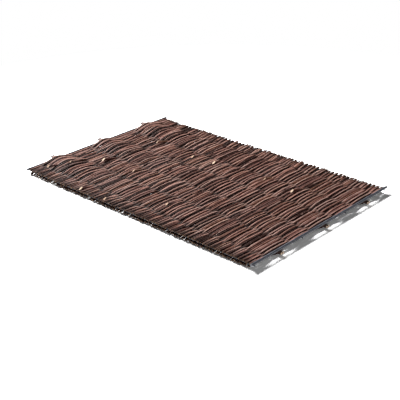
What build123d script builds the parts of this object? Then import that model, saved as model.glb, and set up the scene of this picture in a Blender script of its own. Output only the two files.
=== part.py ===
from build123d import *
import math
import os

# A woven willow fence panel that lies flat. Sizes are in millimetres. X runs along the
# long side, Y across the panel and Z up, and the panel rests on Z = 0.
# Two steel side bars carry four thin rods on their undersides. Between the rods lie pairs of
# willow stakes, which run level under the right bar and rise over the left one.
# Bundles of withies cross them all, over one and under the next.

# Overall sizes
panel_length = 1200.0  # over the outsides of the two side bars
panel_width = 800.0  # length of a side bar

# Steel frame
bar_diameter = 10.0
rod_diameter = 5.0
edge_rod_inset = 16.0  # from the end of a side bar to the axis of an edge rod
rod_setback = 2.0  # from the outside of a side bar to the end of a rod
weld_gap = 0.2  # between a rod and the side bar above it

# Willow stakes
stake_diameter = 9.0
pair_gap = 1.0  # between the two stakes of a pair
stake_overhang = 10.0  # past the outside of a side bar
stake_seat_gap = 0.3  # between a stake and the side bar that it passes
stake_bend_length = 300.0  # from the left bar to where a stake starts to rise to it

# Withies
bundle_count = 52
bundle_thickness = 6.4
bundle_spread = 1.5  # width of a bundle's ridge over its share of the panel's length
bar_side_gap = 1.5  # between a side bar and the nearest bundle
weave_gap = 0.3  # between a bundle and what it passes over or under
width_variation = 0.14  # share by which single bundles are wider or narrower
width_drift = 0.7  # share by which bundles grow wider from right to left
end_overhang = 7.5  # mean length of a bundle's end past the edge rod's axis
end_variation = 3.0

# Openings that show light between bundles
edge_gap_length = 34.0
edge_gap_width = 6.5
edge_gap_bundle_count = 4  # bundles from one opening to the next
edge_gap_inset = 10.0  # from the edge rod to the opening
side_gap_length = 46.0
side_gap_width = 7.0
side_gap_bundle_count = 1  # bundles between the left bar and the openings beside it
side_gap_field_count = 3  # fields between members from one such opening to the next

# The members that the withies cross: a rod, a pair of stakes, a rod and so on
member_count = 7
edge_rod_y = panel_width / 2 - edge_rod_inset
member_pitch = 2 * edge_rod_y / (member_count - 1)
member_places = [k * member_pitch - edge_rod_y for k in range(member_count)]

bar_radius = bar_diameter / 2
rod_radius = rod_diameter / 2
stake_radius = stake_diameter / 2
bar_x = panel_length / 2 - bar_radius
stake_spread = (stake_diameter + pair_gap) / 2

# Heights are measured from the axes of the side bars until the finished parts are raised
rod_drop = bar_radius + weld_gap + rod_radius
stake_rise = bar_radius + stake_seat_gap + stake_radius
stake_bend_x = stake_bend_length - bar_x

# A bundle leans between its members, so it needs a little more room over each of them
half_thickness = bundle_thickness / 2
rod_reach = rod_radius + weave_gap + half_thickness
stake_reach = stake_radius + weave_gap + half_thickness
steepest_climb = stake_rise + rod_drop + stake_reach + rod_reach
lean = math.hypot(member_pitch, steepest_climb) / member_pitch


def is_stake_pair(member):
    return member % 2 == 1


def stake_level(x):
    """Height of the stakes' axes, which come down from the left bar to their level run."""
    climb = max(stake_bend_x - x, 0) / stake_bend_length
    return stake_rise * (2 * climb - 1)


def bundle_side(i):
    """1 for a bundle that passes over the stakes and under the rods, -1 for the others."""
    return 1 if i % 2 == 0 else -1


def bundle_levels(x, width, side):
    """Heights of a bundle's middle line where it crosses the members, from front to back."""
    at_rods = -rod_drop - side * rod_reach * lean
    stakes_touched = stake_level(x - side * width / 2)
    climb = side * (stakes_touched - at_rods) + stake_reach * lean
    slope = max(climb, 0) / (member_pitch - stake_spread)
    at_stakes = stakes_touched + side * (stake_reach * lean + stake_spread * slope)
    return [at_stakes if is_stake_pair(k) else at_rods for k in range(member_count)]


def bundle_edges():
    """X of the line between each bundle and the next, from left to right."""
    middle = (bundle_count - 1) / 2
    shares = []
    for i in range(bundle_count):
        drift = width_drift * (middle - i) / (2 * middle)
        shares.append(1 + drift + width_variation * math.sin(2.4 * i))
    left = -bar_x + bar_radius + bar_side_gap
    span = -2 * left
    edges = [left]
    for share in shares:
        edges.append(edges[-1] + span * share / sum(shares))
    return edges


def bundle_width(i, edges):
    """Width of a bundle's ridge. The outermost bundles keep clear of the side bars."""
    share = edges[i + 1] - edges[i]
    return share if i in (0, bundle_count - 1) else share * bundle_spread


def bundle_path(x, levels, front_end, back_end):
    """Over-and-under line of one bundle, from the front edge to the back edge."""
    front_slope = (levels[0] - levels[1]) / member_pitch
    back_slope = (levels[-1] - levels[-2]) / member_pitch
    points = [(x, y, z) for y, z in zip(member_places, levels)]
    points[0] = (x, -edge_rod_y - front_end, levels[0] + front_slope * front_end)
    points[-1] = (x, edge_rod_y + back_end, levels[-1] + back_slope * back_end)
    return Polyline(*points)


def rest_height():
    """Height of the side bars' axes at which the lowest bundle touches Z = 0."""
    edges = bundle_edges()
    lowest = 0
    for i in range(bundle_count):
        x = (edges[i] + edges[i + 1]) / 2
        levels = bundle_levels(x, bundle_width(i, edges), bundle_side(i))
        slope = (levels[0] - levels[1]) / member_pitch
        lowest = min(lowest, min(levels) - half_thickness * math.hypot(1, slope))
    return -lowest


def bundle_section(width):
    """A flat bundle of withies, seen from its end."""
    return Rectangle(width, bundle_thickness)


def bundle(i, edges):
    """One bundle of withies, swept from edge to edge."""
    x = (edges[i] + edges[i + 1]) / 2
    width = bundle_width(i, edges)
    levels = bundle_levels(x, width, bundle_side(i))
    front_end = end_overhang + end_variation * math.sin(1.9 * i)
    back_end = end_overhang + end_variation * math.sin(2.7 * i + 1)
    path = bundle_path(x, levels, front_end, back_end)
    start = Plane(origin=path @ 0, x_dir=(1, 0, 0), z_dir=path % 0)
    return sweep(start * bundle_section(width), path=path, transition=Transition.RIGHT)


def light_gap(x, y, width, length):
    """A lens-shaped opening that goes right through the weave."""
    lens = Polygon((-width / 2, 0), (0, -length / 2), (width / 2, 0), (0, length / 2))
    return extrude(Pos(x, y, 0) * lens, amount=steepest_climb, both=True)


def light_gaps(edges):
    """Openings along the back edge, mostly on the right, and beside the left bar."""
    gaps = []
    edge_y = edge_rod_y - edge_gap_inset - edge_gap_length / 2
    for i in range(bundle_count // 3, bundle_count - 1, edge_gap_bundle_count):
        gaps.append(light_gap(edges[i], edge_y, edge_gap_width, edge_gap_length))
    for field in range(0, member_count - 1, side_gap_field_count):
        y = member_places[field] + member_pitch / 2
        x = edges[side_gap_bundle_count]
        gaps.append(light_gap(x, y, side_gap_width, side_gap_length))
    return gaps


def woven_willow():
    edges = bundle_edges()
    bundles = [bundle(i, edges) for i in range(bundle_count)]
    return bundles[0].fuse(*bundles[1:]).cut(*light_gaps(edges))


def side_bar(side):
    """A round bar along a short side. Side is -1 for the left and 1 for the right."""
    place = Pos(side * bar_x, 0, 0)
    return place * Rot(90, 0, 0) * Cylinder(bar_radius, panel_width)


def cross_rod(member):
    """A thin rod along the panel, welded under both side bars."""
    length = panel_length - 2 * rod_setback
    place = Pos(0, member_places[member], -rod_drop)
    return place * Rot(0, 90, 0) * Cylinder(rod_radius, length)


def stake(member, side):
    """One stake of a pair. Side is -1 for the front one and 1 for the back one."""
    end_x = panel_length / 2 + stake_overhang
    y = member_places[member] + side * stake_spread
    path = Polyline(*[(x, y, stake_level(x)) for x in (end_x, stake_bend_x, -end_x)])
    start = Plane(origin=path @ 0, x_dir=(0, 1, 0), z_dir=path % 0)
    return sweep(start * Circle(stake_radius), path=path, transition=Transition.RIGHT)


parts = {
    "woven_willow": woven_willow(),
    "left_side_bar": side_bar(-1),
    "right_side_bar": side_bar(1),
    "front_edge_rod": cross_rod(0),
    "front_inner_rod": cross_rod(2),
    "back_inner_rod": cross_rod(4),
    "back_edge_rod": cross_rod(6),
}
for name, member in zip(("front", "middle", "back"), range(1, member_count, 2)):
    parts[name + "_pair_front_stake"] = stake(member, -1)
    parts[name + "_pair_back_stake"] = stake(member, 1)

os.makedirs("parts", exist_ok=True)
raised = Pos(0, 0, rest_height())
for name, solid in parts.items():
    export_step(raised * solid, "parts/" + name + ".step")
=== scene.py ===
import math

import bpy
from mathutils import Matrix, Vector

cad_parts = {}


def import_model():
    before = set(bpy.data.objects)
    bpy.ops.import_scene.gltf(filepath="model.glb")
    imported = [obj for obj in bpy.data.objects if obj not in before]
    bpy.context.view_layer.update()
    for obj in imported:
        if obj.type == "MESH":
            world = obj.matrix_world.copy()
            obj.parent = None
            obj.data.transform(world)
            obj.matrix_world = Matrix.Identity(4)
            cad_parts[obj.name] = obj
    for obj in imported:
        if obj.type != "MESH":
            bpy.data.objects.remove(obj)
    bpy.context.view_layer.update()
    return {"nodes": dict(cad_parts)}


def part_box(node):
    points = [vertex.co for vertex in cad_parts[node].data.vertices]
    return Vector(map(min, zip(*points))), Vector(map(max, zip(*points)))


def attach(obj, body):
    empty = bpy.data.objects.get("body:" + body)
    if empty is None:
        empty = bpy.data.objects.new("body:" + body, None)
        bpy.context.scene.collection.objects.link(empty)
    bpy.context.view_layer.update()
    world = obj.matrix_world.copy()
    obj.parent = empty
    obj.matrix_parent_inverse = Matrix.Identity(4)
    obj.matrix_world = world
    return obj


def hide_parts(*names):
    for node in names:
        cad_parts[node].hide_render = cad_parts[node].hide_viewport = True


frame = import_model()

# A woven willow fence panel that lies flat. Sizes are in metres. X runs along the long
# side, Y across the panel and Z up.

# Places taken from the frame
willow_low, willow_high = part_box("woven_willow")
front_rod_low, front_rod_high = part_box("front_edge_rod")
back_rod_low, back_rod_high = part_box("back_edge_rod")
stake_low, stake_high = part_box("middle_pair_front_stake")
bar_low, bar_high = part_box("left_side_bar")

rod_radius = (front_rod_high.z - front_rod_low.z) / 2
rod_height = (front_rod_high.z + front_rod_low.z) / 2
front_rod_y = (front_rod_high.y + front_rod_low.y) / 2
back_rod_y = (back_rod_high.y + back_rod_low.y) / 2
field_count = 6  # fields between the seven members that the withies cross
member_pitch = (back_rod_y - front_rod_y) / field_count

# The stakes run level from the right, and rise to pass over the left bar
stake_radius = (stake_high.y - stake_low.y) / 2
stake_height = stake_low.z + stake_radius
stake_bend_length = 0.300
stake_bend_x = (bar_low.x + bar_high.x) / 2 + stake_bend_length
stake_slope = (stake_high.z - stake_low.z - 2 * stake_radius) / (stake_bend_x - stake_low.x)

# Bundles, finer than the ridges of the solid
bundle_count = 124
bundle_withies = 3
width_drift = 0.2  # share by which bundles grow wider from right to left
width_variation = 0.15  # share by which single bundles are wider or narrower
width_wave = 2.4  # step from bundle to bundle on the wave that their widths follow
beside_bar_width = 0.0085  # of the one bundle that stands beside the left bar
beside_bar_overlap = 0.0045  # between that one and the next
side_lap = 0.010  # how far a withy laps over the left bar
lap_slope = 2.0  # lap over the height at which a withy lies above the bar

# Withies of a bundle. The one in the middle shows, and the fillers beside it are painted darker, as
# painted shade in the slits between the withies that show.
withy_radius = 0.0028
withy_spacing = 0.86  # share of a bundle's width over which its withies are spread
filler_from = 0.2  # share of that width from the middle to where the fillers begin
shift_range = (-0.25, 0.25)  # by which the middle withy lies aside, as a share of the width
tone_range = (0.6, 0.96)
dull_share = 0.14  # share of the withies that are dull
dull_loss = 0.45  # share of its tone that a dull withy loses
filler_loss = 0.93  # share of its tone that a filler loses, as painted shade
clear_share = 0.4  # share of the fillers that get less of that painted shade
clear_gain = 0.40  # share of its tone that such a filler gets back, so that it has less painted shade
stout_range = (0.88, 1.12)  # thickness of single withies
filler_slimness = 0.04  # share by which fillers are thinner
taper_range = (-0.12, 0.12)  # share by which a withy is thicker at its back end
lift_range = (0.0, 0.0012)  # room between a member and a withy that lies loose on it
front_end_range = (0.005, 0.0105)  # past the axis of the edge rod
bundle_end_range = (0.0025, 0.0065)  # the same at the back, for a whole bundle
back_end_range = (0.0, 0.0022)  # from a bundle's end to the end of one of its withies
chance_range = (0.0, 1.0)
slant_range = (-1.0, 1.0)
noise_range = (0.0, 50.0)  # places along a noise, so that single withies differ

# Path of a withy over and under the members
bend_share = 0.13  # part of the way between two members in which a withy bends round one
fullness = 1.9  # power by which a withy stays up on its way down to the next member
fullness_loss = 45.0  # per metre by which the stakes have risen
slack = 0.0002  # least room between a withy and a member
slack_variation = 0.0003
ground_gap = 0.0003
draw_in = 0.09  # share of a field by which points along a withy draw in to the members
end_stretch = 2.1  # makes up for the part of each end that is lost as the points draw in
crossing_shift = 0.25  # share of a field by which bundles cross early or late
crossing_waves = 5.0  # per metre
crossing_part = 7.0  # moves each bundle to its own part of that noise
bundle_room = 0.5  # share by which a bundle grows wider over a member
room_slope = 62.0  # that share over the height between the bundles of both layers

# How withies stray to the side, and swell and shrink along their length
flow_waves = (5.0, 3.6)  # per metre along X and Y, shared by neighbours
flow_width = 0.026
stray_waves = 7.0  # per metre, for a single withy
stray_part = 5.0  # moves each withy to its own part of that noise
stray_width = 0.030
slant_width = 0.060
filler_steadiness = 0.9  # share by which fillers stray less
right_steadiness = 0.75  # share by which withies stray less at the right side
side_straying = 0.15  # share of the straying that is left beside the side bars
side_slope = 22.0  # growth of that share away from the bars, over the panel's length
lump_waves = 14.0  # per metre
lump_size = 0.14

# Light painted on a withy's bark, from 0 in painted shade where it lies beneath others to 1 where it
# is in full view
exposed_middle = 0.8  # where the bundles of both layers cross
exposed_slope = 220.0  # per metre above or below the crossing bundles
filler_cover = 0.9  # by which a filler is less exposed, as more painted shade
end_shade = 0.7  # share of it that the ends past the edge rods lose, as painted shade
end_shade_from = 0.012  # from the edge rod's axis inward
end_shade_slope = 70.0
streak_length = 0.79  # length of a withy, for the marks along its bark

# Fineness of the withies' mesh
steps_along = 72
sides_round = 7

# Openings that show light, as in the solid
back_gap_x = (-0.1107, -0.0130, 0.0831, 0.1699, 0.2569, 0.3331, 0.4107, 0.4766, 0.5444)
back_gap_y = 0.357
back_gap_size = (0.0065, 0.034)
left_gap_x = -0.558
left_gap_y = (-0.320, 0.064)
left_gap_size = (0.0070, 0.046)

# Thick ends of withies that lie on the weave, by x and y
butt_radius = 0.004
butt_sizes = (0.75, 0.875, 1.0)  # shares of that radius, taken in turn
butt_tones = (0.130, 0.154, 0.178)
butt_length = 0.075
butt_turn = 0.01  # by which the far end lies to the right
butt_sink = 0.2  # slope at which a butt sinks into the weave
butt_slant = 2.0  # length of the cut over the thickness
butt_top = 0.0265
butt_rise = 0.7  # share of the stakes' rise at the left that butts follow
butt_streak = 1.7  # from butt to butt on the noise along the bark
butt_sides = 12
butt_places = [
    (-0.39, 0.14), (-0.17, 0.13), (-0.06, 0.14), (-0.50, -0.25), (-0.53, -0.34), (-0.42, -0.14),
    (-0.25, -0.13), (0.07, -0.26), (0.35, 0.13), (0.20, 0.15), (-0.14, -0.38), (-0.28, -0.38),
]

# Camera, with angles in degrees and the lens in millimetres
camera_place = (2.2054, -2.3166, 1.4508)
camera_turn = (64.514, 1.18, 43.139)
lens_length = 80
sensor_width = 36

# Ground and surroundings
floor_reach = 30
panel_reach = 1.0  # from the middle of the panel to where the ground is plain white
floor_white = 1.35  # as the camera sees it
floor_grey = 0.4  # as it lights the panel
ambient = 0.03


class Socket:
    """A value in a node tree. Arithmetic on it adds Math nodes."""

    def __init__(self, nodes, socket):
        self.nodes = nodes
        self.socket = socket

    def calc(self, operation, *others):
        """The result of a Math node on this value and others."""
        return self.nodes.add("ShaderNodeMath", {"operation": operation}, (self, *others))

    def __add__(self, other):
        return self.calc("ADD", other)

    def __radd__(self, other):
        return self.calc("ADD", other)

    def __sub__(self, other):
        return self.calc("SUBTRACT", other)

    def __rsub__(self, other):
        return self.nodes.add("ShaderNodeMath", {"operation": "SUBTRACT"}, (other, self))

    def __mul__(self, other):
        return self.calc("MULTIPLY", other)

    def __rmul__(self, other):
        return self.calc("MULTIPLY", other)

    def __truediv__(self, other):
        return self.calc("DIVIDE", other)

    def __mod__(self, other):
        return self.calc("FLOORED_MODULO", other)

    def size(self):
        """This value without its sign."""
        return self.calc("ABSOLUTE")

    def above(self, level):
        """1 where this value is greater than the level, 0 elsewhere."""
        return self.calc("GREATER_THAN", level)

    def clamp(self, low=0.0, high=1.0):
        return self.calc("MAXIMUM", low).calc("MINIMUM", high)

    def mix(self, other, share):
        """This value where share is 0, the other where it is 1."""
        return self + (other - self) * share


class Nodes:
    """A node tree that is filled from Python."""

    def __init__(self, tree):
        self.tree = tree

    def add(self, kind, settings=None, inputs=(), output=0):
        """Adds a node, sets it up and returns one of its outputs."""
        node = self.tree.nodes.new(kind)
        for name, value in (settings or {}).items():
            if name == "stops":
                fill_ramp(node.color_ramp, value)
            else:
                setattr(node, name, value)
        pairs = inputs.items() if isinstance(inputs, dict) else enumerate(inputs)
        for key, value in pairs:
            self.join(value, node.inputs[key])
        return Socket(self, node.outputs[output])

    def join(self, value, socket):
        """Links a value of the tree to an input, or sets the input to a plain value."""
        if isinstance(value, Socket):
            self.tree.links.new(value.socket, socket)
        else:
            socket.default_value = value

    def mix_colour(self, share, first, second):
        settings = {"data_type": "RGBA", "clamp_factor": True}
        return self.add("ShaderNodeMix", settings, {0: share, 6: first, 7: second}, 2)

    def noise(self, place, detail, roughness, kind="3D"):
        settings = {"noise_dimensions": kind}
        inputs = {"Scale": 1.0, "Detail": detail, "Roughness": roughness}
        inputs["W" if kind == "1D" else "Vector"] = place
        return self.add("ShaderNodeTexNoise", settings, inputs)

    def ramp(self, value, stops):
        return self.add("ShaderNodeValToRGB", {"stops": stops}, {"Fac": value})

    def bump(self, strength, distance, height):
        inputs = {"Strength": strength, "Distance": distance, "Height": height}
        return self.add("ShaderNodeBump", {}, inputs, "Normal")

    def attribute(self, name):
        settings = {"attribute_type": "GEOMETRY", "attribute_name": name}
        return self.add("ShaderNodeAttribute", settings, output="Fac")

    def place(self):
        return self.add("ShaderNodeTexCoord", output="Object")

    def stretched(self, scale):
        """Object coordinates, scaled differently along each axis."""
        return self.add("ShaderNodeMapping", {}, {"Vector": self.place(), "Scale": scale})


def fill_ramp(ramp, stops):
    """Gives a colour ramp its stops, each with a place and a colour."""
    while len(ramp.elements) < len(stops):
        ramp.elements.new(0.5)
    for element, (place, colour) in zip(ramp.elements, stops):
        element.position = place
        element.color = colour


def grey(level):
    return (level, level, level, 1)


# Materials


def new_material(name):
    """An empty material, with its node tree and its shader."""
    material = bpy.data.materials.new(name)
    material.use_nodes = True
    nodes = Nodes(material.node_tree)
    shader = material.node_tree.nodes["Principled BSDF"]
    return material, nodes, shader


def willow_bark():
    """Dark red-brown bark with streaks along the withy, buds, a dusty bloom, and painted shade where
    a withy lies beneath others.
    """
    ochre = (0.30, 0.150, 0.082, 1)
    ash = (0.20, 0.150, 0.148, 1)
    dust = (0.36, 0.21, 0.17, 1)
    stain = (0.030, 0.011, 0.008, 1)
    bud_ring = (0.024, 0.012, 0.010, 1)
    bud_collar = (0.30, 0.21, 0.18, 1)
    painted_shade = (0.012, 0.003, 0.001, 1)
    buds_per_metre = 21.0

    material, nodes, shader = new_material("willow_bark")
    tone = nodes.attribute("tone")
    along = nodes.attribute("along")
    streak = nodes.noise(nodes.stretched((420, 14, 420)), 4, 0.6)
    patch = nodes.noise(nodes.stretched((60, 22, 60)), 3, 0.55)
    # Lighter and darker stretches follow one another along a withy
    tide = nodes.noise(along * 11.0, 2, 0.5, "1D")
    colour = nodes.ramp(tone + (tide - 0.5) * 0.75 * tone, [
        (0.0, (0.014, 0.003, 0.001, 1)),
        (0.3, (0.100, 0.036, 0.027, 1)),
        (0.7, (0.380, 0.196, 0.156, 1)),
        (1.0, (0.470, 0.300, 0.252, 1)),
    ])
    # Some withies are yellower and some greyer. Their kind follows from their tone.
    kind = (tone * 7.3) % 1.0
    colour = nodes.mix_colour((kind - 0.6).clamp() * 0.9, colour, ochre)
    colour = nodes.mix_colour((0.3 - kind).clamp() * 1.1, colour, ash)
    # Dust lies on the bright streaks, and the dark patches are stained
    bloom = ((streak - 0.45) * 2.2 + (patch - 0.5) * 1.6).clamp()
    colour = nodes.mix_colour(bloom * tone * 0.40, colour, dust)
    shade = (0.60 - patch) * 2.4
    colour = nodes.mix_colour(shade.clamp() * 0.5, colour, stain)
    # Buds leave a dark ring and a paler collar every few centimetres
    ring = (along * buds_per_metre + tone * 7.0) % 1.0
    knot = (1.0 - ring * 16.0).clamp()
    collar = (1.0 - (ring - 0.09).size() * 22.0).clamp()
    colour = nodes.mix_colour(knot * 0.7, colour, bud_ring)
    colour = nodes.mix_colour(collar * 0.35, colour, bud_collar)
    # Painted shade: the bark is darkened where a withy lies beneath the others, where it is a
    # filler, and at the ends past the edge rods
    shade_share = 1.0 - nodes.attribute("exposed")
    colour = nodes.mix_colour(shade_share * 0.95, colour, painted_shade)
    nodes.join(colour, shader.inputs["Base Color"])
    nodes.join(0.46 + streak * 0.28, shader.inputs["Roughness"])
    shader.inputs["Specular IOR Level"].default_value = 0.10
    bump = nodes.bump(0.5, 0.0006, streak * 0.7 + knot * 0.8)
    nodes.join(bump, shader.inputs["Normal"])
    return material


def stake_bark():
    """Darker and smoother bark of the stakes, with pale cut ends."""
    dust = (0.17, 0.11, 0.095, 1)
    end_depth = 0.0003

    material, nodes, shader = new_material("stake_bark")
    streak = nodes.noise(nodes.stretched((14, 420, 420)), 4, 0.6)
    patch = nodes.noise(nodes.stretched((18, 60, 60)), 3, 0.55)
    colour = nodes.ramp(streak, [
        (0.3, (0.040, 0.020, 0.016, 1)),
        (0.55, (0.080, 0.041, 0.033, 1)),
        (0.75, (0.135, 0.080, 0.066, 1)),
    ])
    colour = nodes.mix_colour((patch - 0.4) * 1.5, colour, dust)
    # The cut faces at both ends show pale wood
    length_place = nodes.add("ShaderNodeSeparateXYZ", {}, {"Vector": nodes.place()}, "X")
    cut = length_place.size().above(stake_high.x - end_depth)
    grain = nodes.noise(nodes.stretched((10, 260, 260)), 2, 0.5)
    pale = nodes.ramp(grain, [
        (0.35, (0.30, 0.17, 0.11, 1)),
        (0.65, (0.92, 0.74, 0.56, 1)),
    ])
    colour = nodes.mix_colour(cut, colour, pale)
    nodes.join(colour, shader.inputs["Base Color"])
    nodes.join(0.42 + streak * 0.25, shader.inputs["Roughness"])
    shader.inputs["Specular IOR Level"].default_value = 0.3
    nodes.join(nodes.bump(0.4, 0.0005, streak), shader.inputs["Normal"])
    return material


def cut_wood():
    """Pale wood of a cut end, brighter in some than in others."""
    dark_grain = (0.10, 0.055, 0.03, 1)

    material, nodes, shader = new_material("cut_wood")
    tone = nodes.attribute("tone")
    grain = nodes.noise(nodes.stretched((900, 900, 900)), 3, 0.6)
    colour = nodes.ramp((tone * 5.3) % 1.0, [
        (0.0, (0.07, 0.032, 0.018, 1)),
        (0.5, (0.20, 0.105, 0.055, 1)),
        (0.85, (0.42, 0.25, 0.14, 1)),
        (1.0, (0.66, 0.50, 0.35, 1)),
    ])
    colour = nodes.mix_colour((0.6 - grain) * 1.6, colour, dark_grain)
    nodes.join(colour, shader.inputs["Base Color"])
    nodes.join(0.6 + grain * 0.3, shader.inputs["Roughness"])
    return material


def black_steel():
    """Blue-black steel bar with a dull sheen, mill scale and a few worn spots."""
    rust = (0.12, 0.055, 0.03, 1)

    material, nodes, shader = new_material("black_steel")
    scale = nodes.noise(nodes.stretched((90, 90, 90)), 5, 0.62)
    fine = nodes.noise(nodes.stretched((700, 700, 700)), 3, 0.6)
    colour = nodes.ramp(scale, [
        (0.30, (0.045, 0.048, 0.058, 1)),
        (0.55, (0.085, 0.090, 0.108, 1)),
        (0.80, (0.160, 0.168, 0.190, 1)),
    ])
    worn = ((fine - 0.62) * 6.0).clamp()
    colour = nodes.mix_colour(worn * 0.5, colour, rust)
    nodes.join(colour, shader.inputs["Base Color"])
    nodes.join(0.30 + scale * 0.28, shader.inputs["Roughness"])
    shader.inputs["Metallic"].default_value = 0.35
    nodes.join(nodes.bump(0.25, 0.0003, fine), shader.inputs["Normal"])
    return material


# Withies, woven by Geometry Nodes

# Inputs of the weave's node tree, by their kind
weave_inputs = {
    "NodeSocketInt": [
        "Bundles", "Phase", "Phase of first bundle", "Withies in a bundle", "Steps", "Sides", "Seed",
    ],
    "NodeSocketFloat": [
        "Side of left bar", "Left edge", "Span", "Front rod", "Member pitch", "Rod height",
        "Stake height", "Stake slope", "Stake bend", "Rod radius", "Stake radius",
        "Withy radius", "Top of side bars", "Lap over left bar",
    ],
    "NodeSocketMaterial": ["Bark", "Cut wood"],
}


class Group(Nodes):
    """A Geometry Nodes tree with named inputs."""

    def __init__(self, name):
        super().__init__(bpy.data.node_groups.new(name, "GeometryNodeTree"))
        self.entry = self.tree.nodes.new("NodeGroupInput")
        self.leaving = self.tree.nodes.new("NodeGroupOutput")
        kind = "NodeSocketGeometry"
        self.tree.interface.new_socket("Geometry", in_out="OUTPUT", socket_type=kind)

    def input(self, name, kind):
        self.tree.interface.new_socket(name, in_out="INPUT", socket_type=kind)
        return Socket(self, self.entry.outputs[name])

    def keep(self, geometry, name, value):
        """Stores a value on every point, for later steps and for the materials."""
        inputs = {"Geometry": geometry, "Name": name, "Value": value}
        return self.add("GeometryNodeStoreNamedAttribute", {}, inputs)

    def kept(self, name):
        return self.add("GeometryNodeInputNamedAttribute", {}, {"Name": name})

    def random(self, reach, key, seed):
        """A value between the two ends of reach, the same for the same key and seed."""
        low, high = reach
        return self.add("FunctionNodeRandomValue", {}, {2: low, 3: high, 7: key, 8: seed}, 1)

    def finish(self, geometry):
        self.join(geometry, self.leaving.inputs[0])
        return self.tree


def over_and_under(group, given, m, x, phase, radius, room):
    """Height of a withy's middle at place m, counted in members from the front rod."""
    start = m.calc("FLOOR").clamp(0, field_count - 1)
    ahead = m - start
    # Odd members are stakes. Over is 1 where the withy starts above a member and -1 below it.
    odd = start % 2.0
    over = 1.0 - ((start + phase) % 2.0) * 2.0
    rod_reach = given["Rod radius"] + radius + room
    stake_reach = given["Stake radius"] + radius + room
    rod_centre = given["Rod height"]
    rise = (given["Stake bend"] - x).calc("MAXIMUM", 0.0) * given["Stake slope"]
    stake_centre = given["Stake height"] + rise
    here = rod_centre.mix(stake_centre, odd) + over * rod_reach.mix(stake_reach, odd)
    there = stake_centre.mix(rod_centre, odd) - over * stake_reach.mix(rod_reach, odd)
    inside = ahead.clamp()
    # Straight in the middle, and bent round the members at both ends
    near_start = (bend_share - inside).calc("MAXIMUM", 0.0)
    near_end = (bend_share - (1.0 - inside)).calc("MAXIMUM", 0.0)
    bend = (near_start * near_start - near_end * near_end) / (2.0 * bend_share)
    eased = ((inside + bend - bend_share / 2.0) / (1.0 - bend_share)).clamp()
    # Fuller above than below, because the withies press on each other from both sides
    under = (1.0 - over) / 2.0
    down = eased.mix(1.0 - eased, under).calc("POWER", fullness - rise * fullness_loss)
    eased = down.mix(1.0 - down, under)
    return here.mix(there, eased + (ahead - inside))


def part_round(x, y, radius, gap_x, gap_y, size):
    """Moves a withy aside where it would close a lens-shaped opening."""
    width, length = size
    share = (1.0 - (y - gap_y).size() * (2.0 / length)).clamp()
    aside = x - gap_x
    needed = (radius + width / 2.0) * share.calc("POWER", 0.5) - aside.size()
    return x + needed.calc("MAXIMUM", 0.0) * aside.calc("SIGN")


def bundle_points(group, given):
    """One point for each bundle of a layer, with its width and place."""
    count = given["Bundles"]
    span = given["Span"]
    points = group.add("GeometryNodePoints", {}, {"Count": count})
    index = group.add("GeometryNodeInputIndex")
    middle = (count - 1.0) / 2.0
    drift = width_drift * ((middle - index) / (middle * 2.0))
    share = 1.0 + drift + width_variation * (index * width_wave).calc("SINE")
    sum_before = group.add("GeometryNodeAccumulateField", {}, {"Value": share}, "Trailing")
    total = group.add("GeometryNodeAccumulateField", {}, {"Value": share}, "Total")
    from_left = span * (sum_before + share / 2.0) / total
    points = group.keep(points, "width", span * share / total)
    points = group.keep(points, "middle", given["Left edge"] + from_left)
    points = group.keep(points, "phase", (index + given["Phase of first bundle"]) % 2.0)
    points = group.keep(points, "across", index / (count - 1.0))
    wrong = (group.kept("phase") - given["Phase"]).size().above(0.5)
    return group.add("GeometryNodeDeleteGeometry", {}, {"Geometry": points, "Selection": wrong})


def withy_points(group, given, points):
    """One point for each withy, with what sets it apart from the others."""
    # Each random value adds a number of its own to the seed
    seed = given["Seed"]
    key = group.add("GeometryNodeInputIndex")
    points = group.keep(points, "bundle_noise", group.random(noise_range, key, seed + 9.0))
    points = group.keep(points, "bundle_end", group.random(bundle_end_range, key, seed + 10.0))
    amount = given["Withies in a bundle"]
    inputs = {"Geometry": points, "Amount": amount}
    points = group.add("GeometryNodeDuplicateElements", {"domain": "POINT"}, inputs)
    copy = Socket(group, points.socket.node.outputs["Duplicate Index"])
    place = (copy + 0.5) / amount - 0.5
    points = group.keep(points, "filler", place.size().above(filler_from))
    filler = group.kept("filler")
    shift = group.random(shift_range, key, seed + 14.0) * (1.0 - filler)
    points = group.keep(points, "place", place * withy_spacing + shift)
    dull = group.random(chance_range, key, seed + 13.0).above(1.0 - dull_share)
    clear = group.random(chance_range, key, seed + 15.0).above(1.0 - clear_share)
    # Painted shade: fillers get a darker tone, and some of them less dark
    filler_shade = filler * (filler_loss - clear * clear_gain)
    tone = group.random(tone_range, key, seed + 1.0) * (1.0 - filler_shade) * (1.0 - dull * dull_loss)
    points = group.keep(points, "tone", tone)
    stout = group.random(stout_range, key, seed + 2.0) * (1.0 - filler * filler_slimness)
    points = group.keep(points, "stout", stout)
    points = group.keep(points, "taper", group.random(taper_range, key, seed + 3.0))
    points = group.keep(points, "front_end", group.random(front_end_range, key, seed + 4.0))
    back_end = group.kept("bundle_end") + group.random(back_end_range, key, seed + 5.0)
    points = group.keep(points, "back_end", back_end)
    points = group.keep(points, "noise", group.random(noise_range, key, seed + 6.0))
    # Most withies lie nearly straight, and a few slant
    slant = group.random(slant_range, key, seed + 7.0)
    points = group.keep(points, "slant", slant * slant * slant)
    lift = group.random(lift_range, key, seed + 8.0) * (1.0 - filler)
    return group.keep(points, "lift", lift)


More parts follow.
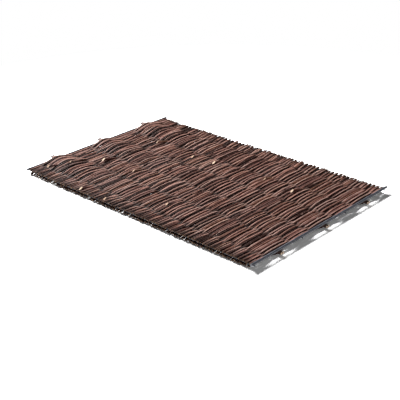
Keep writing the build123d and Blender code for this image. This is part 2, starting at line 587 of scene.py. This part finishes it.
def withy_lines(group, given, points):
    """A line along each withy, bent to its path."""
    line = group.add("GeometryNodeCurvePrimitiveLine", {}, {"Start": (0, 0, 0), "End": (0, 1, 0)})
    line = group.add("GeometryNodeResampleCurve", {}, {"Curve": line, "Count": given["Steps"]})
    lines = group.add("GeometryNodeInstanceOnPoints", {}, {"Points": points, "Instance": line})
    lines = group.add("GeometryNodeRealizeInstances", {}, {"Geometry": lines})
    along = group.add("GeometryNodeSplineParameter", {}, (), "Factor")
    across = group.kept("across")
    phase = group.kept("phase")
    filler = group.kept("filler")
    noise_place = group.kept("noise")
    front = given["Front rod"]
    last = front + given["Member pitch"] * float(field_count)

    start = front - group.kept("front_end") * end_stretch
    end = last + group.kept("back_end") * end_stretch
    y = start.mix(end, along)
    lump = group.noise(y * lump_waves + noise_place, 2, 0.5, "1D")
    radius = given["Withy radius"] * group.kept("stout")
    radius = radius * (1.0 + group.kept("taper") * (along - 0.5) * 2.0)
    radius = radius * (1.0 - lump_size / 2 + lump * lump_size)
    room = slack + lump * slack_variation + group.kept("lift")

    # More points near the members, where the withies bend
    m = (y - front) / given["Member pitch"]
    m = m - (m * math.tau).calc("SINE") * draw_in
    y = front + m * given["Member pitch"]

    # Bundles cross a little before or after the middle of a field
    middle = group.kept("middle")
    offset = group.kept("place") * group.kept("width")
    widest = middle + offset * (1.0 + bundle_room)
    bundle_place = y * crossing_waves + group.kept("bundle_noise") * crossing_part
    early = group.noise(bundle_place, 1, 0.4, "1D") - 0.5
    crossing = m + early * (1.0 - (m * math.tau).calc("COSINE")) * crossing_shift
    z = over_and_under(group, given, crossing, widest, phase, radius, room)
    other_z = over_and_under(group, given, crossing, widest, 1.0 - phase, radius, room)
    z = z.calc("MAXIMUM", radius + ground_gap)

    # Withies of a bundle spread over each member and close up where bundles cross
    spread = 1.0 + ((z - other_z).size() * room_slope).calc("MINIMUM", bundle_room)
    waves_x, waves_y = flow_waves
    flow_place = group.add("ShaderNodeCombineXYZ", {}, (middle * waves_x, y * waves_y, 0.0))
    flow = (group.noise(flow_place, 1, 0.4) - 0.5) * flow_width
    stray = group.noise(y * stray_waves + noise_place * stray_part, 1, 0.5, "1D") - 0.5
    stray = stray * stray_width + group.kept("slant") * (along - 0.5) * slant_width
    stray = stray * (1.0 - filler * filler_steadiness)
    from_side = across.calc("MINIMUM", 1.0 - across)
    untidy = (1.0 - across * right_steadiness) * (from_side * side_slope + side_straying).clamp()
    x = middle + offset * spread + (flow + stray) * untidy
    for gap_x in back_gap_x:
        x = part_round(x, y, radius, gap_x, back_gap_y, back_gap_size)
    for gap_y in left_gap_y:
        x = part_round(x, y, radius, left_gap_x, gap_y, left_gap_size)

    # Beside the left bar they keep clear of it, and lap over it where they rise above it
    above_bar = z - radius - given["Top of side bars"]
    lap = (above_bar * lap_slope).clamp(0.0, given["Lap over left bar"])
    leftmost = given["Side of left bar"] + radius - lap
    rightmost = given["Left edge"] + given["Span"] - radius
    x = x.calc("MAXIMUM", leftmost).calc("MINIMUM", rightmost)
    place = group.add("ShaderNodeCombineXYZ", {}, (x, y, z))
    lines = group.add("GeometryNodeSetPosition", {}, {"Geometry": lines, "Position": place})

    # Painted shade for the bark: dark where a withy lies below the other layer, where it is a
    # filler, and at the ends past the edge rods
    exposed = (z - other_z) * exposed_slope + exposed_middle - filler * filler_cover
    from_edge = (y - front).calc("MINIMUM", last - y)
    shade = ((end_shade_from - from_edge) * end_shade_slope).clamp() * end_shade
    lines = group.keep(lines, "along", along * streak_length + noise_place)
    lines = group.keep(lines, "radius_here", radius)
    return group.keep(lines, "exposed", exposed.clamp() * (1.0 - shade))


def round_rods(group, given, lines):
    """Round rods along the lines, with closed ends of cut wood."""
    ring_inputs = {"Resolution": given["Sides"], "Radius": 1.0}
    ring = group.add("GeometryNodeCurvePrimitiveCircle", {"mode": "RADIUS"}, ring_inputs)
    mesh = group.add("GeometryNodeCurveToMesh", {}, {
        "Curve": lines,
        "Profile Curve": ring,
        "Scale": group.kept("radius_here"),
        "Fill Caps": True,
    })
    # A face round the withy has four corners, and the one that closes an end has more
    corners = group.add("GeometryNodeInputMeshFaceNeighbors", {}, (), "Vertex Count")
    closing = corners.above(4.5)
    rounded = {"Geometry": mesh, "Shade Smooth": 1.0 - closing}
    mesh = group.add("GeometryNodeSetShadeSmooth", {}, rounded)
    mesh = group.add("GeometryNodeRealizeInstances", {}, {"Geometry": mesh})
    finish = {"Geometry": mesh, "Material": given["Bark"]}
    mesh = group.add("GeometryNodeSetMaterial", {}, finish)
    finish = {"Geometry": mesh, "Selection": closing, "Material": given["Cut wood"]}
    return group.add("GeometryNodeSetMaterial", {}, finish)


def weave_group():
    """Bundles of withies, woven over and under the rods and stakes."""
    group = Group("woven withies")
    given = {}
    for kind, names in weave_inputs.items():
        for name in names:
            given[name] = group.input(name, kind)
    points = bundle_points(group, given)
    points = withy_points(group, given, points)
    lines = withy_lines(group, given, points)
    return group.finish(round_rods(group, given, lines))


def made_by(tree, name, values):
    """Runs a Geometry Nodes tree and returns its result as a plain mesh object."""
    carrier = bpy.data.objects.new(name + "_carrier", bpy.data.meshes.new(name))
    bpy.context.collection.objects.link(carrier)
    modifier = carrier.modifiers.new("nodes", "NODES")
    modifier.node_group = tree
    for item in tree.interface.items_tree:
        if item.in_out == "INPUT":
            modifier[item.identifier] = values[item.name]
    depsgraph = bpy.context.evaluated_depsgraph_get()
    mesh = bpy.data.meshes.new_from_object(carrier.evaluated_get(depsgraph), depsgraph=depsgraph)
    bpy.data.objects.remove(carrier)
    mesh.name = name
    piece = bpy.data.objects.new(name, mesh)
    bpy.context.collection.objects.link(piece)
    return piece


def weave(bark, wood):
    """Both layers of withies, and the bundle beside the left bar."""
    tree = weave_group()
    shared = {
        "Front rod": front_rod_y,
        "Member pitch": member_pitch,
        "Rod height": rod_height,
        "Rod radius": rod_radius,
        "Stake height": stake_height,
        "Stake radius": stake_radius,
        "Stake slope": stake_slope,
        "Stake bend": stake_bend_x,
        "Side of left bar": willow_low.x,
        "Top of side bars": bar_high.z,
        "Lap over left bar": side_lap,
        "Withy radius": withy_radius,
        "Withies in a bundle": bundle_withies,
        "Steps": steps_along,
        "Sides": sides_round,
        "Bark": bark,
        "Cut wood": wood,
    }
    left = willow_low.x + beside_bar_width - beside_bar_overlap
    bundles = {
        **shared,
        "Bundles": bundle_count,
        "Phase of first bundle": 1,
        "Left edge": left,
        "Span": willow_high.x - left,
    }
    beside_bar = {
        **shared,
        "Bundles": 1,
        "Phase of first bundle": 0,
        "Left edge": willow_low.x,
        "Span": beside_bar_width,
    }
    return [
        made_by(tree, "withies_over_edge_rods", {**bundles, "Phase": 0, "Seed": 11}),
        made_by(tree, "withies_under_edge_rods", {**bundles, "Phase": 1, "Seed": 31}),
        made_by(tree, "withy_beside_left_bar", {**beside_bar, "Phase": 0, "Seed": 51}),
    ]


def keep_values(mesh, name, values):
    """Stores one value for each corner of a mesh, for the materials."""
    mesh.attributes.new(name, "FLOAT", "POINT").data.foreach_set("value", values)


def butt_ends(bark, wood):
    """Thick ends that stick out of the weave, with a pale slanting cut that faces the front."""
    corners = []
    faces = []
    for number, (x, y) in enumerate(butt_places):
        top = butt_top + max(stake_bend_x - x, 0) * stake_slope * butt_rise
        radius = butt_radius * butt_sizes[number % len(butt_sizes)]
        first = len(corners)
        for end in (0, 1):
            for side in range(butt_sides):
                turn = math.tau * side / butt_sides
                width = radius * math.cos(turn)
                height = radius * math.sin(turn)
                back = end * butt_length + (1 - end) * height * butt_slant
                drop = end * butt_length * butt_sink
                corners.append((x + width + end * butt_turn, y + back, top + height - drop))
        for side in range(butt_sides):
            after = (side + 1) % butt_sides
            near = (first + side, first + after)
            far = (first + butt_sides + after, first + butt_sides + side)
            faces.append(near + far)
        faces.append(tuple(range(first + butt_sides - 1, first - 1, -1)))
        faces.append(tuple(range(first + butt_sides, first + 2 * butt_sides)))
    mesh = bpy.data.meshes.new("butt_ends")
    mesh.from_pydata(corners, [], faces)
    mesh.materials.append(bark)
    mesh.materials.append(wood)
    for polygon in mesh.polygons:
        closing = len(polygon.vertices) > 4
        polygon.material_index = int(closing)
        polygon.use_smooth = not closing
    numbers = [k // (2 * butt_sides) for k in range(len(corners))]
    keep_values(mesh, "tone", [butt_tones[number % len(butt_tones)] for number in numbers])
    keep_values(mesh, "along", [number * butt_streak for number in numbers])
    keep_values(mesh, "exposed", [1.0 for number in numbers])
    piece = bpy.data.objects.new("butt_ends", mesh)
    bpy.context.collection.objects.link(piece)
    return piece


# Surroundings


def floor():
    """Plain white ground that keeps the panel's shadow."""
    mesh = bpy.data.meshes.new("floor")
    reach = floor_reach
    corners = [(-reach, -reach, 0), (reach, -reach, 0), (reach, reach, 0), (-reach, reach, 0)]
    mesh.from_pydata(corners, [], [(0, 1, 2, 3)])
    ground = bpy.data.objects.new("floor", mesh)
    bpy.context.collection.objects.link(ground)
    material, nodes, _ = new_material("white_ground")
    seen = nodes.add("ShaderNodeLightPath", {}, (), "Is Camera Ray")
    glossy = nodes.add("ShaderNodeLightPath", {}, (), "Is Glossy Ray")
    colour = nodes.mix_colour((seen + glossy).clamp(), grey(floor_grey), grey(floor_white))
    plain = nodes.add("ShaderNodeBsdfDiffuse", {}, {"Color": colour})
    # Away from the panel the ground is white whatever light falls there
    white = nodes.add("ShaderNodeEmission", {}, {"Color": grey(1)})
    settings = {"operation": "LENGTH"}
    distance = nodes.add("ShaderNodeVectorMath", settings, {0: nodes.place()}, "Value")
    far = (distance - panel_reach).clamp() * seen
    surface = nodes.add("ShaderNodeMixShader", {}, {0: far, 1: plain, 2: white})
    nodes.join(surface, material.node_tree.nodes["Material Output"].inputs["Surface"])
    mesh.materials.append(material)


def world():
    """White as the camera sees it, with little light of its own."""
    surroundings = bpy.data.worlds.new("studio")
    bpy.context.scene.world = surroundings
    surroundings.use_nodes = True
    nodes = Nodes(surroundings.node_tree)
    back = surroundings.node_tree.nodes["Background"]
    seen = nodes.add("ShaderNodeLightPath", {}, (), "Is Camera Ray")
    nodes.join(seen * (1.0 - ambient) + ambient, back.inputs["Strength"])
    back.inputs["Color"].default_value = grey(1)


def lamp(name, place, size, power):
    """A round soft lamp that faces the middle of the panel."""
    light = bpy.data.lights.new(name, "AREA")
    light.shape = "DISK"
    light.size = size
    light.energy = power
    holder = bpy.data.objects.new(name, light)
    bpy.context.collection.objects.link(holder)
    x, y, z = place
    holder.location = place
    holder.rotation_euler = (math.atan2(math.hypot(x, y), z), 0, math.atan2(x, -y))


def camera():
    """The camera, with the photograph's place, turn and lens."""
    data = bpy.data.cameras.new("camera")
    data.lens = lens_length
    data.sensor_width = sensor_width
    holder = bpy.data.objects.new("camera", data)
    bpy.context.collection.objects.link(holder)
    holder.location = camera_place
    holder.rotation_euler = [math.radians(angle) for angle in camera_turn]
    bpy.context.scene.camera = holder


bpy.context.scene.view_settings.view_transform = "Standard"
camera()
floor()
world()
lamp("softbox_behind", place=(-3.9, 0.75, 3.45), size=2.1, power=1040)
lamp("softbox_front", place=(2.6, -0.9, 0.6), size=1.0, power=22)

bark = willow_bark()
stake_finish = stake_bark()
wood = cut_wood()
steel = black_steel()

for node, piece in frame["nodes"].items():
    if "stake" in node:
        piece.material_slots[0].material = stake_finish
    elif "bar" in node or "rod" in node:
        piece.material_slots[0].material = steel

for piece in weave(bark, wood) + [butt_ends(bark, wood)]:
    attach(piece, "root")
    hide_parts("woven_willow")
